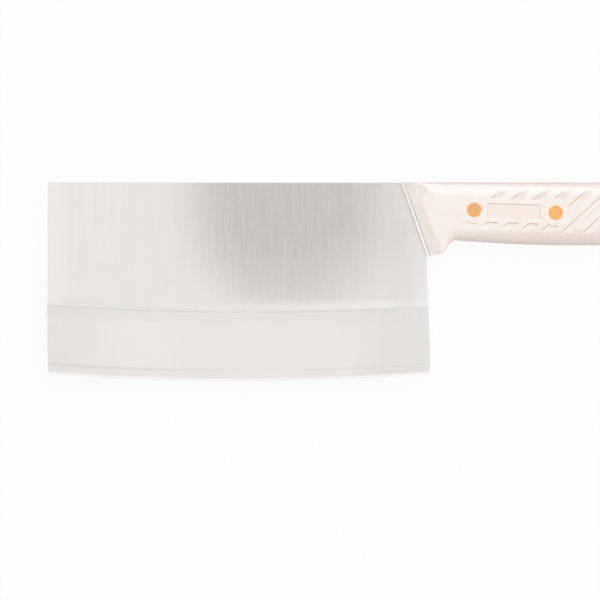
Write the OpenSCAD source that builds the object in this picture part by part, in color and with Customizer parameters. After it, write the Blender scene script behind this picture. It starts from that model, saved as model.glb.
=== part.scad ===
// Chinese cleaver: a tall ground blade with a full tang, two moulded handle scales
// and two cutler's rivets. The knife lies flat with +X towards the butt, +Y towards
// the spine and +Z up. Sizes below are measured from the blade's front and spine.

/* [Blade] */
// Length from the front edge to the heel
blade_l = 203; // [180:0.1:230]
// Height from the spine to the lowest point of the cutting edge
blade_h = 105.6; // [96:0.1:115]
// Thickness of the ground flats
blade_t = 2.1; // [1.6:0.05:3]
// Radius of the cutting edge's sweep
edge_r = 1350; // [1000:1:2500]
// Distance from the front edge to the lowest point of the cutting edge
edge_low_x = 100.1; // [85:0.1:115]
// Depth of the blade's foremost point below the spine
front_low_y = 78; // [50:0.5:90]
// How far the front edge falls back at the spine
front_back_top = 0.27; // [0.1:0.01:3]
// How far the front edge falls back at the cutting edge
front_back_low = 0.5; // [0.1:0.01:3]
// How far the heel leans back under the handle
heel_rake = 1.7; // [0:0.1:6]
// Depth below the spine at which the heel edge turns upright
heel_turn_y = 86.8; // [60:0.1:92]
// Chamfer along the spine's two edges
spine_ease = 0.3; // [0.1:0.05:0.6]

/* [Grind] */
// Width of the ground bevel above the lowest point of the cutting edge
grind_w = 36.8; // [20:0.1:50]
// Radius of the line where the bevel meets the flat
grind_r = 1540; // [1000:1:2500]
// Distance from the front edge to the lowest point of that line
grind_low_x = 106.5; // [85:0.1:125]
// Width of the thinned band behind the cutting edge
thin_w = 5.8; // [4:0.1:9]
// Blade thickness where the thinned band starts
thin_t = 1.0; // [0.8:0.05:1.3]
// Width of the sharpened bevel
sharp_w = 1.4; // [0.8:0.1:2.5]
// Blade thickness where the sharpened bevel starts
sharp_t = 0.5; // [0.3:0.05:0.7]
// Thickness left at the cutting edge
edge_t = 0.1; // [0.05:0.01:0.2]

/* [Tang] */
// How far the tang's faces stand above the ground flats
tang_step = 0.05; // [0.02:0.01:0.2]
// Distance from the handle's top front corner back to the heel
tang_lap = 15; // [13.8:0.1:16]
// Width of the tang's polished strip that shows ahead of the scales
tang_show = 0.9; // [0.5:0.1:1.5]

/* [Handle] */
// Handle length from its top front corner to the butt
handle_l = 133; // [122:0.1:150]
// Thickness of each scale
scale_t = 8; // [7:0.1:10]
// Height of the plain upright wall round each scale
scale_wall = 1.5; // [0.8:0.1:2.5]
// Lean of the handle's front from upright
front_lean = 19.5; // [18:0.1:21]
// Draft of the scale's front wall
front_draft = 3.5; // [2:0.5:12]
// Depth of the guard below the spine at its rear corner
guard_h = 37.8; // [36.5:0.1:39.5]
// Distance from the handle's top front corner to the guard's rear corner
guard_l = 21.5; // [19.5:0.1:22]
// Upward slope of the guard's underside
guard_slope = 8.8; // [4:0.1:14]
// Radius of the guard's rear corner
guard_r = 1.6; // [1.2:0.1:2.5]
// Distance from the handle's top front corner to the finger notch behind the guard
notch_l = 27; // [24.5:0.1:28]
// Fillet radius of the finger notch
notch_r = 3.5; // [2:0.1:4.5]
// Depth of the grip's lowest point below the spine
grip_h = 33.4; // [32.5:0.1:35]
// Distance from the handle's top front corner to the grip's lowest point
grip_low_l = 92.2; // [80:0.1:100]
// Radius of the grip's long curve
grip_r = 760; // [550:1:1200]
// Length of the hook at the butt
hook_l = 16.8; // [15.5:0.1:20]
// Depth of the hook's corner below the spine, before rounding
hook_h = 40.2; // [38:0.1:42]
// Radius of the hook
hook_r = 7; // [6.6:0.1:8]
// Radius between the grip and the hook
waist_r = 20; // [10:0.5:24]
// Radius of the butt's top corner
butt_r = 14; // [10:0.5:18]

/* [Scale faces] */
// Width of the rounding along the handle's top
round_top_w = 7.8; // [6:0.1:8.4]
// Width of that rounding at the handle's front
round_front_w = 1.2; // [0.8:0.1:2]
// Distance from the handle's top front corner to where that rounding starts to widen
round_from_l = 6.5; // [5:0.1:9]
// Length over which it widens
round_run_l = 14; // [10:0.1:18]
// Depth of the flat face's lower border below the spine
face_low_y = 26.2; // [25:0.1:27.5]
// Width of the rounding round the butt
round_butt_w = 6.2; // [5:0.1:6.4]
// Width of the rounding along the guard
round_guard_w = 1; // [0.6:0.1:1.1]
// Share of the grip's rounding that is a plain chamfer beside the face
chamfer_share = 0.64; // [0.4:0.01:0.7]
// Slope of that chamfer
chamfer_slope = 33; // [25:1:36]
// Angle on the rounding's circle at which the chamfer starts
chamfer_angle = 69; // [60:1:75]
// Distance along the handle from its top front corner to the front ramp's top end
ramp_l = 10.1; // [9:0.1:11]
// Depth of the front ramp's top end below the spine
ramp_y = 9.3; // [8.8:0.1:11]
// Lean of the line where the front ramp meets the face
ramp_lean = 22.2; // [18:0.1:26]
// Slope of the front ramp
ramp_slope = 15.5; // [12:0.5:24]
// Lean of the line where the corner facet meets the face
facet_lean = 37.7; // [30:0.1:45]
// Slope of the corner facet
facet_slope = 18; // [12:0.5:24]

/* [Grip pattern] */
// Number of diagonal grooves
groove_n = 7; // [1:1:7]
// Distance from the handle's top front corner to the first groove, at groove_y
groove_l = 33.5; // [31:0.1:35]
// Depth below the spine at which the grooves are measured
groove_y = 21.1; // [18:0.1:24]
// Spacing of the grooves along the handle
groove_pitch = 11.34; // [9:0.01:12]
// Width of a groove along the handle
groove_w = 5.7; // [3:0.1:7]
// Slant of the grooves from upright
groove_slant = 47.4; // [35:0.1:50]
// Depth of the grooves
groove_d = 0.6; // [0.3:0.05:0.9]
// Radius of the plain disc left round each rivet
plain_r = 6.9; // [5:0.1:8]
// Half height of the plain band between the rivets
plain_h = 6; // [4.8:0.1:7]
// Length of the recessed panel
panel_l = 28.4; // [20:0.1:29]
// Height of the recessed panel
panel_h = 7.9; // [5:0.1:9]
// Depth of the recessed panel
panel_d = 0.4; // [0.2:0.05:0.6]

/* [Rivets] */
// Distance from the handle's top front corner to the front rivet
rivet_l = 38.3; // [36.5:0.1:39]
// Depth of the front rivet below the spine
rivet_y = 14.7; // [13.5:0.1:16]
// Spacing of the rivets along the handle
rivet_pitch = 43.2; // [42.5:0.1:46]
// Drop of the rear rivet against the front one
rivet_drop = 1.5; // [0:0.1:2.5]
// Diameter of the rivet heads
head_d = 7.6; // [6.5:0.1:9]
// Thickness of the rivet heads
head_t = 2.5; // [1.5:0.1:3.5]
// Outer diameter of the rivet's tubular half
tube_d = 4.8; // [4.2:0.1:5.6]
// Diameter of the rivet's solid shank
shank_d = 3.2; // [2.4:0.1:3.4]
// How far the ground heads lie below the scale's face
head_sink = 0.05; // [0.02:0.01:0.2]
// Clearance round each rivet and between its halves
rivet_fit = 0.03; // [0.02:0.01:0.1]

/* [Hidden] */

steel = [0.84, 0.83, 0.81];
ivory = [0.96, 0.93, 0.89];
brass = [0.92, 0.69, 0.45];

arc_fn = 720;
round_fn = 96;
arc_steps = 8;
guard_steps = 9;
grip_steps = 14;
round_steps = 8;
front_steps = 6;
past = 2;
least_share = 0.04;
least_drop = 0.01;
reach_on = 8;

tang_t = blade_t + 2 * tang_step;
handle_x = blade_l - tang_lap;
overall_l = handle_x + handle_l;
half_t = tang_t / 2 + scale_t;
rivet_angle = -atan2(rivet_drop, rivet_pitch);
head_under = half_t - head_sink - head_t;
end_gap = 0.3;

front_rivet = [handle_x + rivet_l, -rivet_y];
rear_rivet = front_rivet + [rivet_pitch, -rivet_drop];

// Plane geometry
function unit(v) = v / norm(v);
function blend(a, b, f) = a + (b - a) * max(0, min(1, f));
function turn(from, to) = let (t = to - from) t > 180 ? t - 360 : t < -180 ? t + 360 : t;

// Half the angle at corner b, and how far along each side an arc of radius r reaches
function half_angle(a, b, c) = acos(unit(a - b) * unit(c - b)) / 2;
function arc_reach(a, b, c, r) = r / tan(half_angle(a, b, c));

// Points of the arc of radius r that rounds corner b between a and c
function corner_arc(a, b, c, r, steps) =
    let (centre = b + unit(unit(a - b) + unit(c - b)) * r / sin(half_angle(a, b, c)),
        start = b + unit(a - b) * arc_reach(a, b, c, r) - centre,
        finish = b + unit(c - b) * arc_reach(a, b, c, r) - centre,
        first = atan2(start.y, start.x),
        swing = turn(first, atan2(finish.y, finish.x)))
    [for (i = [0:steps]) centre + r * [cos(first + swing * i / steps), sin(first + swing * i / steps)]];

// Lower outline of the handle, from ahead of the guard round the hook to the butt
function grip_y(x) = -grip_h + pow(x - handle_x - grip_low_l, 2) / (2 * grip_r);
function on_grip(x) = [x, grip_y(x)];

guard_back = [handle_x + guard_l, -guard_h];
guard_ahead = guard_back - (guard_l + reach_on) * [1, tan(guard_slope)];
notch = on_grip(handle_x + notch_l);
notch_next = on_grip(notch.x + 1);
waist = on_grip(overall_l - hook_l);
waist_before = on_grip(waist.x - 1);
hook = [overall_l, -hook_h];
butt = [overall_l, 0];
grip_from = notch.x + arc_reach(guard_back, notch, notch_next, notch_r);
grip_to = waist.x - arc_reach(waist_before, waist, hook, waist_r);

low_side = concat(
    [for (i = [0:guard_steps - 1]) guard_ahead + (guard_back - guard_ahead) * i / guard_steps],
    corner_arc(guard_ahead, guard_back, notch, guard_r, arc_steps),
    corner_arc(guard_back, notch, notch_next, notch_r, arc_steps),
    [for (i = [1:grip_steps - 1]) on_grip(grip_from + (grip_to - grip_from) * i / grip_steps)],
    corner_arc(waist_before, waist, hook, waist_r, arc_steps),
    corner_arc(waist, hook, butt, hook_r, arc_steps)
);

// Upper outline of the handle, straight along the spine and rounded down to the butt
function into_butt(x) = max(0, x - overall_l + butt_r);
function top_y(x) = sqrt(butt_r * butt_r - pow(into_butt(x), 2)) - butt_r;
high_side = [for (p = low_side) [p.x, top_y(min(p.x, overall_l))]];

// The closed outline runs out along the top and comes back along the bottom
side_n = len(low_side);
ring_n = 2 * side_n;
outline = concat(high_side, [for (i = [side_n - 1:-1:0]) low_side[i]]);

function inward(i) =
    let (along = unit(outline[min(i + 1, ring_n - 1)] - outline[max(i - 1, 0)]))
    [along.y, -along.x];

// Width of the scale's rounding at one point of the outline
function top_width(x) = blend(
    blend(round_front_w, round_top_w, (x - handle_x - round_from_l) / round_run_l),
    round_butt_w, into_butt(x) / butt_r);
function grip_width(p) = min(round_butt_w + 1, -p.y - face_low_y);
function low_width(p) =
    p.x > waist.x ? blend(grip_width(waist), round_butt_w, (p.x - waist.x) / (hook_l / 2)) :
    blend(round_guard_w, grip_width(p), (p.x - guard_back.x - guard_r) / (2 * notch_r));
function width(i) = i < side_n ? top_width(outline[i].x) : low_width(outline[i]);

// The rounding is a stretched arc that ends at a foot. Along the top the foot is at the
// face, and along the grip a chamfer lies between them
function lower(i) = i < side_n ? min(1, into_butt(outline[i].x) / butt_r) : 1;
function foot_in(i) = 1 - max(least_share, chamfer_share * lower(i));
function foot_z(i) =
    scale_t - max(least_drop, tan(chamfer_slope) * chamfer_share * width(i) * lower(i));
function round_angle(i, k) = 90 - (90 - chamfer_angle * lower(i)) * k / round_steps;
function round_in(i, k) =
    let (last = chamfer_angle * lower(i))
    foot_in(i) * (1 - (sin(round_angle(i, k)) - sin(last)) / (1 - sin(last)));
function round_z(i, k) =
    let (last = chamfer_angle * lower(i))
    foot_z(i) - (foot_z(i) - scale_wall) * (cos(last) - cos(round_angle(i, k))) / cos(last);
function ring_point(i, share, z) = let (p = outline[i] + inward(i) * width(i) * share) [p.x, p.y, z];

module scale_blank() {
    ring = [0:ring_n - 1];
    points = concat(
        [for (i = ring) ring_point(i, 0, 0)],
        [for (k = [0:round_steps]) for (i = ring) ring_point(i, round_in(i, k), round_z(i, k))],
        [for (i = ring) ring_point(i, 1, scale_t)]);
    walls = [for (k = [0:round_steps + 1]) for (i = ring)
        let (j = (i + 1) % ring_n, low = k * ring_n, high = low + ring_n)
        each [[low + i, high + j, high + i], [low + i, low + j, high + j]]];
    last = (round_steps + 2) * ring_n;
    caps = [for (i = [0:side_n - 2])
        let (j = i + 1, p = ring_n - 1 - i, q = p - 1)
        each [[i, q, j], [i, p, q], [last + i, last + j, last + q], [last + i, last + q, last + p]]];
    polyhedron(points, concat(walls, caps), convexity = 8);
}

// A block whose face leans along the handle's front; it lies on the blade's side
module front_block(size) {
    translate([handle_x + tang_show / cos(front_lean), 0, 0]) rotate([0, 0, front_lean])
        rotate([0, front_draft, 0])
        translate([-size, -size / 2, -size / 2]) cube(size);
}

// A block above a plane that drops towards the blade from a line across the face
module slope_block(lean, slope, size) {
    translate([handle_x + ramp_l, -ramp_y, scale_t]) rotate([0, 0, lean]) rotate([0, -slope, 0])
        translate([-size / 2, -size / 2, 0]) cube(size);
}

module groove_outline(i) {
    x = handle_x + groove_l + groove_pitch * i;
    rise = tan(groove_slant);
    top = x + groove_y * rise;
    low = x - (hook_h - groove_y) * rise;
    polygon([[top, 0], [top + groove_w, 0], [low + groove_w, -hook_h], [low, -hook_h]]);
}

// Plain ground round the rivets and between them, which the grooves leave out
module plain_outline() {
    for (at = [front_rivet, rear_rivet]) translate(at) circle(plain_r, $fn = round_fn);
    translate(front_rivet) rotate(rivet_angle)
        translate([0, -plain_h]) square([norm(rear_rivet - front_rivet), 2 * plain_h]);
}

module grooves() {
    translate([0, 0, scale_t - groove_d]) linear_extrude(groove_d + past)
        difference() {
            for (i = [0:groove_n - 1]) groove_outline(i);
            plain_outline();
        }
}

module panel() {
    translate([0, 0, scale_t - panel_d]) linear_extrude(panel_d + past)
        translate((front_rivet + rear_rivet) / 2) rotate(rivet_angle)
            square([panel_l, panel_h], center = true);
}

// Hole for the tubular half, with a counterbore for a head
module rivet_seat(at) {
    translate([at.x, at.y, -past]) cylinder(h = scale_t, d = tube_d + 2 * rivet_fit, $fn = round_fn);
    translate([at.x, at.y, scale_t - head_sink - head_t])
        cylinder(h = head_t + past, d = head_d + 2 * rivet_fit, $fn = round_fn);
}

module scale_body() {
    size = 2 * blade_h;
    difference() {
        scale_blank();
        front_block(size);
        slope_block(ramp_lean, ramp_slope, size);
        slope_block(-facet_lean, facet_slope, size);
        grooves();
        rivet_seat(front_rivet);
        rivet_seat(rear_rivet);
    }
}

// Origin at the middle of the knife's box, on the face it lies on
module place() {
    translate([-overall_l / 2, blade_h / 2, half_t]) children();
}

// Plate whose faces slope along arcs round one centre; steps are [distance past the arc, thickness]
module arc_plate(low, radius, steps) {
    sweep = 2 * asin(blade_l / radius);
    top = [for (s = steps) [radius + s[0], s[1] / 2]];
    under = [for (i = [len(steps) - 1:-1:0]) [radius + steps[i][0], -steps[i][1] / 2]];
    translate([low.x, low.y + radius, 0]) rotate([0, 0, -90 - sweep / 2])
        rotate_extrude(angle = sweep, $fn = arc_fn) polygon(concat(top, under));
}

function front_x(y) =
    y > -front_low_y ? front_back_top * pow(1 + y / front_low_y, 2) :
    front_back_low * pow((y + front_low_y) / (blade_h - front_low_y), 2);

module ground_outline() {
    lean = tan(front_lean);
    // Where the handle's front meets the guard's underside
    fall = (guard_h + guard_l * tan(guard_slope)) / (1 + lean * tan(guard_slope));
    guard_tip = [handle_x + fall * lean, -fall];
    front_top = [for (i = [0:front_steps]) -front_low_y * i / front_steps];
    front_low = [for (i = [1:front_steps]) -front_low_y - (blade_h - front_low_y) * i / front_steps];
    polygon(concat(
        [for (y = concat(front_top, front_low)) [front_x(y), y]],
        [[front_back_low, -blade_h - past],
        [blade_l, -blade_h - past],
        [blade_l, -heel_turn_y],
        [blade_l - heel_rake, guard_tip.y],
        guard_tip,
        guard_tip + [past / 2, past / 2],
        [handle_x + past / 2, 0]]
    ));
}

module ground_blade() {
    slope = (blade_t - thin_t) / (grind_w - thin_w);
    thinning = (thin_t - sharp_t) / (thin_w - sharp_w);
    thick = 2 * blade_t;
    above = blade_h + 5 * past;
    difference() {
        intersection() {
            linear_extrude(thick, center = true) ground_outline();
            arc_plate([grind_low_x, grind_w - blade_h], grind_r,
                [[grind_w - above, blade_t], [0, blade_t],
                [grind_w + past, blade_t - slope * (grind_w + past)]]);
            arc_plate([edge_low_x, -blade_h], edge_r,
                [[-above, thick], [-sharp_w - (thick - sharp_t) / thinning, thick],
                [-sharp_w, sharp_t], [0, edge_t]]);
        }
        for (side = [-1, 1]) translate([-past, 0, side * blade_t / 2]) rotate([45, 0, 0])
            translate([0, -spine_ease / sqrt(2), -spine_ease / sqrt(2)])
                cube([overall_l, spine_ease * sqrt(2), spine_ease * sqrt(2)]);
    }
}

module tang() {
    size = 2 * blade_h;
    difference() {
        linear_extrude(tang_t, center = true) difference() {
            polygon(outline);
            translate([handle_x, 0]) rotate(front_lean) translate([-size, -size / 2]) square(size);
        }
        for (at = [front_rivet, rear_rivet]) translate([at.x, at.y, -tang_t])
            cylinder(h = 2 * tang_t, d = tube_d + 2 * rivet_fit, $fn = round_fn);
    }
}

module blade() {
    color(steel) place() {
        ground_blade();
        tang();
    }
}

module front_scale() {
    color(ivory) place() translate([0, 0, tang_t / 2]) difference() {
        scale_body();
        panel();
    }
}

module back_scale() {
    color(ivory) place() mirror([0, 0, 1]) translate([0, 0, tang_t / 2]) scale_body();
}

// Solid half of a rivet, put in from the front
module rivet_pin(at) {
    tip = 0.4;
    shank_l = 2 * head_under - end_gap;
    color(brass) place() translate([at.x, at.y, 0]) {
        translate([0, 0, head_under]) cylinder(h = head_t, d = head_d, $fn = round_fn);
        translate([0, 0, head_under - shank_l + tip])
            cylinder(h = shank_l, d = shank_d, $fn = round_fn);
        translate([0, 0, head_under - shank_l])
            cylinder(h = tip, d1 = shank_d - 2 * tip, d2 = shank_d, $fn = round_fn);
    }
}

// Tubular half of a rivet, put in from the back
module rivet_socket(at) {
    tube_l = 2 * head_under - end_gap;
    color(brass) place() translate([at.x, at.y, 0]) difference() {
        union() {
            translate([0, 0, -head_under - head_t]) cylinder(h = head_t, d = head_d, $fn = round_fn);
            translate([0, 0, -head_under - past / 2])
                cylinder(h = tube_l + past / 2, d = tube_d, $fn = round_fn);
        }
        translate([0, 0, -head_under])
            cylinder(h = tube_l + past, d = shank_d + 2 * rivet_fit, $fn = round_fn);
    }
}

blade();
front_scale();
back_scale();
rivet_pin(front_rivet);  // front_rivet_pin
rivet_socket(front_rivet);  // front_rivet_socket
rivet_pin(rear_rivet);  // rear_rivet_pin
rivet_socket(rear_rivet);  // rear_rivet_socket
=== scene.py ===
import math

import bmesh
import bpy
import numpy as np
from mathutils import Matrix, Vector
from mathutils.geometry import delaunay_2d_cdt


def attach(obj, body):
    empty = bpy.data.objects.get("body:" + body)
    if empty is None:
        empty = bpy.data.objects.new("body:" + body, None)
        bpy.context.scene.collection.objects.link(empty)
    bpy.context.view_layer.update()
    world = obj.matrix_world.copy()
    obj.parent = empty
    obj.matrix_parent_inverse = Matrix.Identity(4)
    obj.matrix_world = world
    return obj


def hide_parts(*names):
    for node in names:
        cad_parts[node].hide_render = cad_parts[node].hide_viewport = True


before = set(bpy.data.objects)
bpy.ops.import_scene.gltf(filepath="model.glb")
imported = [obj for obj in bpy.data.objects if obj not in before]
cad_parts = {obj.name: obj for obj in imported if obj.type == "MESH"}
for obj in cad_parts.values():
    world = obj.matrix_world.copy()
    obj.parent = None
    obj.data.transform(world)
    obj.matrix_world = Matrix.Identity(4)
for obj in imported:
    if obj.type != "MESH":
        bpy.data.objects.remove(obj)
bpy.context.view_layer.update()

MM = 0.001

# Sizes in millimetres, the same as in the part's source. X runs from the blade's front
# towards the butt, Y from the spine upwards, and Z from the blade's middle
BLADE_L = 203
BLADE_H = 105.6
TANG_T = 2.2
TANG_LAP = 15
TANG_SHOW = 0.9
EDGE_R = 1350
EDGE_LOW_X = 100.1
GRIND_W = 36.8
GRIND_R = 1540
GRIND_LOW_X = 106.5
THIN_W = 5.8
SHARP_W = 1.4

HANDLE_L = 133
SCALE_T = 8
SCALE_WALL = 1.5
FRONT_LEAN = 19.5
FRONT_DRAFT = 3.5
GUARD_H = 37.8
GUARD_L = 21.5
GUARD_SLOPE = 8.8
GUARD_R = 1.6
NOTCH_L = 27
NOTCH_R = 3.5
GRIP_H = 33.4
GRIP_LOW_L = 92.2
GRIP_R = 760
HOOK_L = 16.8
HOOK_H = 40.2
HOOK_R = 7
WAIST_R = 20
BUTT_R = 14

ROUND_TOP_W = 7.8
ROUND_FRONT_W = 1.2
ROUND_FROM_L = 6.5
ROUND_RUN_L = 14
FACE_LOW_Y = 26.2
ROUND_BUTT_W = 6.2
ROUND_GUARD_W = 1
CHAMFER_SHARE = 0.64
CHAMFER_SLOPE = 33
CHAMFER_ANGLE = 69
RAMP_AT = (10.1, -9.3)
RAMP_LEAN = 22.2
RAMP_SLOPE = 15.5
FACET_LEAN = -37.7
FACET_SLOPE = 18

GROOVE_N = 7
GROOVE_L = 33.5
GROOVE_Y = 21.1
GROOVE_PITCH = 11.34
GROOVE_W = 5.7
GROOVE_SLANT = 47.4
GROOVE_D = 0.6
PLAIN_R = 6.9
PLAIN_H = 6
PANEL_L = 28.4
PANEL_H = 7.9
PANEL_D = 0.4

RIVET_L = 38.3
RIVET_Y = 14.7
RIVET_PITCH = 43.2
RIVET_DROP = 1.5
HEAD_D = 7.6
HEAD_T = 2.5
TUBE_D = 4.8
HEAD_SINK = 0.05
RIVET_FIT = 0.03

HANDLE_X = BLADE_L - TANG_LAP
OVERALL_L = HANDLE_X + HANDLE_L
HALF_T = TANG_T / 2 + SCALE_T
FRONT_RIVET = np.array([HANDLE_X + RIVET_L, -RIVET_Y])
REAR_RIVET = FRONT_RIVET + [RIVET_PITCH, -RIVET_DROP]
BAND_MIDDLE = (FRONT_RIVET + REAR_RIVET) / 2
PANEL_MIDDLE = BAND_MIDDLE - [0.35, 0]
RIVET_ANGLE = -math.atan2(RIVET_DROP, RIVET_PITCH)

# How finely the scales' mesh is drawn, and how softly its edges turn
RIM_STEP = 0.6
LINE_STEP = 0.9
FILL_STEP = 1.2
FINE_STEP = 0.35
ROUND_STEPS = 12
REACH_ON = 8
GROOVE_WALL = 0.45
GROOVE_FAR_WALL = 0.85
# How much wider the grooves below the plain ground are, by their place under the spine
LOW_GROOVE_N = 5
LOW_GROOVE_Y = (-26, -21, -17)
LOW_GROOVE_MORE = (0.2, 1.25, 0)
CHAMFER_SOFT = 1.85
# The line below which the low grooves fade, by a point from the handle's top corner and its lean,
# and where past it their depth starts and over how far it grows
WORN_AT = (42, -23.6)
WORN_LEAN = 84
WORN_FROM = -1.6
WORN_RUN = 3.8
PANEL_WALL = 0.34
CREASE_SOFT = 0.15
FRONT_SOFT = 0.5


def to_part(x, y):
    """A point of the source's frame in the part's frame, in metres."""
    return ((x - OVERALL_L / 2) * MM, (y + BLADE_H / 2) * MM)


# Outline of the handle

def unit(vector):
    return vector / np.linalg.norm(vector)


def corner_arc(before, corner, after, radius, step=RIM_STEP / 2):
    """Points of the arc that rounds a corner between two others."""
    to_before = unit(before - corner)
    to_after = unit(after - corner)
    half = math.acos(to_before @ to_after) / 2
    centre = corner + unit(to_before + to_after) * radius / math.sin(half)
    start = corner + to_before * radius / math.tan(half) - centre
    finish = corner + to_after * radius / math.tan(half) - centre
    first = math.atan2(start[1], start[0])
    swing = (math.atan2(finish[1], finish[0]) - first + math.pi) % math.tau - math.pi
    count = math.ceil(abs(swing) * radius / step)
    angles = first + swing * np.linspace(0, 1, count + 1)
    return centre + radius * np.stack([np.cos(angles), np.sin(angles)], axis=1)


def straight(start, finish, step=RIM_STEP):
    """Evenly spaced points from start to finish, both included."""
    start = np.asarray(start, float)
    finish = np.asarray(finish, float)
    count = max(1, math.ceil(np.linalg.norm(finish - start) / step))
    return start + (finish - start) * np.linspace(0, 1, count + 1)[:, None]


def on_grip(x):
    x = np.asarray(x, float)
    return np.stack([x, -GRIP_H + (x - HANDLE_X - GRIP_LOW_L) ** 2 / (2 * GRIP_R)], axis=-1)


def blend(low, high, share):
    return low + (high - low) * np.clip(share, 0, 1)


def handle_rim():
    """The handle's outline as an open line round the butt, with its rounding's width at each
    point, and how far the rounding there is the grip's chamfered one (1) or the top's (0)."""
    guard_back = np.array([HANDLE_X + GUARD_L, -GUARD_H])
    ahead = GUARD_L + REACH_ON
    guard_ahead = guard_back - [ahead, ahead * math.tan(math.radians(GUARD_SLOPE))]
    notch = on_grip(HANDLE_X + NOTCH_L)
    waist = on_grip(OVERALL_L - HOOK_L)
    hook = np.array([OVERALL_L, -HOOK_H])
    butt = np.array([OVERALL_L, 0.0])
    top_start = np.array([HANDLE_X - REACH_ON, 0.0])

    top = np.concatenate([straight(top_start, butt - [BUTT_R, 0]),
                          corner_arc(top_start, butt, hook, BUTT_R)[1:]])
    hook_arc = corner_arc(waist, hook, butt, HOOK_R)[::-1]
    waist_arc = corner_arc(on_grip(waist[0] - 1), waist, hook, WAIST_R)[::-1]
    notch_arc = corner_arc(guard_back, notch, on_grip(notch[0] + 1), NOTCH_R)[::-1]
    guard_arc = corner_arc(guard_ahead, guard_back, notch, GUARD_R, step=RIM_STEP / 4)[::-1]
    grip = on_grip(straight([waist_arc[-1][0]], [notch_arc[0][0]])[:, 0])
    low = np.concatenate([hook_arc, waist_arc[1:], grip[1:-1], notch_arc, guard_arc,
                          straight(guard_arc[-1], guard_ahead)[1:]])
    back = straight(top[-1], hook_arc[0])[1:-1]

    into_butt = np.clip((top[:, 0] - OVERALL_L + BUTT_R) / BUTT_R, 0, 1)
    top_width = blend(ROUND_FRONT_W, ROUND_TOP_W, (top[:, 0] - HANDLE_X - ROUND_FROM_L) / ROUND_RUN_L)
    top_width = blend(top_width, ROUND_BUTT_W, into_butt)
    back_width = np.full(len(back), float(ROUND_BUTT_W))
    grip_width = np.minimum(ROUND_BUTT_W + 1, -low[:, 1] - FACE_LOW_Y)
    waist_width = min(ROUND_BUTT_W + 1, -waist[1] - FACE_LOW_Y)
    past_guard = (low[:, 0] - guard_back[0]) / (2 * NOTCH_R)
    past_waist = (low[:, 0] - waist[0]) / (HOOK_L / 2)
    low_width = np.where(low[:, 0] > waist[0],
                         blend(waist_width, ROUND_BUTT_W, past_waist),
                         blend(ROUND_GUARD_W, grip_width, past_guard))
    return (np.concatenate([top, back, low]),
            np.concatenate([top_width, back_width, low_width]),
            np.concatenate([into_butt, np.ones(len(back) + len(low))]))


RIM, RIM_WIDTH, RIM_LOWER = handle_rim()


def inward(line):
    """Unit vectors to the right of a line, which is inside for the rim."""
    along = np.gradient(line, axis=0)
    along /= np.linalg.norm(along, axis=1)[:, None]
    return np.stack([along[:, 1], -along[:, 0]], axis=1)


def across(points, at, lean):
    """Distance of points from a leaning line through one place, positive towards the butt."""
    lean = math.radians(lean)
    away = points - np.asarray(at)
    return away[..., 0] * math.cos(lean) + away[..., 1] * math.sin(lean)


HANDLE_AT = np.array([HANDLE_X, 0.0])
SLOPE_AT = HANDLE_AT + RAMP_AT
FRONT_AT = HANDLE_AT + [TANG_SHOW / math.cos(math.radians(FRONT_LEAN)), 0]


# Height of the scale's surface above the tang

def rim_distance(points):
    """Distance of each point from the rim, and the rounding's width and kind at the nearest place."""
    start = RIM[:-1]
    along = RIM[1:] - start
    length_squared = (along ** 2).sum(axis=1)
    distances = []
    widths = []
    kinds = []
    for some in np.array_split(points, max(1, len(points) // 1500)):
        away = some[:, None] - start
        share = np.clip((away * along).sum(axis=2) / length_squared, 0, 1)
        gap = np.linalg.norm(away - share[..., None] * along, axis=2)
        nearest = gap.argmin(axis=1)
        row = np.arange(len(some))
        distances.append(gap[row, nearest])
        widths.append(blend(RIM_WIDTH[nearest], RIM_WIDTH[nearest + 1], share[row, nearest]))
        kinds.append(blend(RIM_LOWER[nearest], RIM_LOWER[nearest + 1], share[row, nearest]))
    return np.concatenate(distances), np.concatenate(widths), np.concatenate(kinds)


def round_foot(width, lower):
    """The arc's last angle, and the share of the width and the height at which it ends."""
    drop = math.tan(math.radians(CHAMFER_SLOPE)) * CHAMFER_SHARE * width * lower
    return math.radians(CHAMFER_ANGLE) * lower, 1 - CHAMFER_SHARE * lower, SCALE_T - drop


def soft_least(first, second, soft):
    """The lower of two heights, with the edge between them rounded."""
    near = np.maximum(0, soft - np.abs(first - second)) / soft
    return np.minimum(first, second) - near ** 2 * soft / 4


def crease_reach(width, lower):
    """How far the turn between the face and the chamfer reaches to either side of it."""
    return np.minimum(CHAMFER_SOFT, 0.9 * CHAMFER_SHARE * width) * lower


def round_height(distance, width, lower):
    """Height of the rounding at a distance from the rim: a stretched arc, then the grip's chamfer."""
    angle, foot, foot_height = round_foot(width, lower)
    share = distance / width
    up_arc = np.clip(share / foot, 0, 1)
    sine = np.sin(angle) + (1 - up_arc) * (1 - np.sin(angle))
    cosine = np.sqrt(np.maximum(0, 1 - sine ** 2))
    arc = foot_height - (foot_height - SCALE_WALL) * (1 - cosine / np.cos(angle))
    slope = math.tan(math.radians(CHAMFER_SLOPE))
    soft = np.maximum(slope * crease_reach(width, lower), 0.001)
    chamfer = soft_least(SCALE_T + slope * (distance - width), SCALE_T, soft)
    return np.where(share < foot, arc, chamfer)


def slope_height(points, lean, slope):
    return SCALE_T + across(points, SLOPE_AT, lean) * math.tan(math.radians(slope))


def face_height(points):
    """Height of the face, its rounding and the two slopes at the front."""
    distance, width, lower = rim_distance(points)
    height = round_height(distance, width, lower)
    height = soft_least(height, slope_height(points, RAMP_LEAN, RAMP_SLOPE), CREASE_SOFT)
    return soft_least(height, slope_height(points, FACET_LEAN, FACET_SLOPE), CREASE_SOFT)


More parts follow.
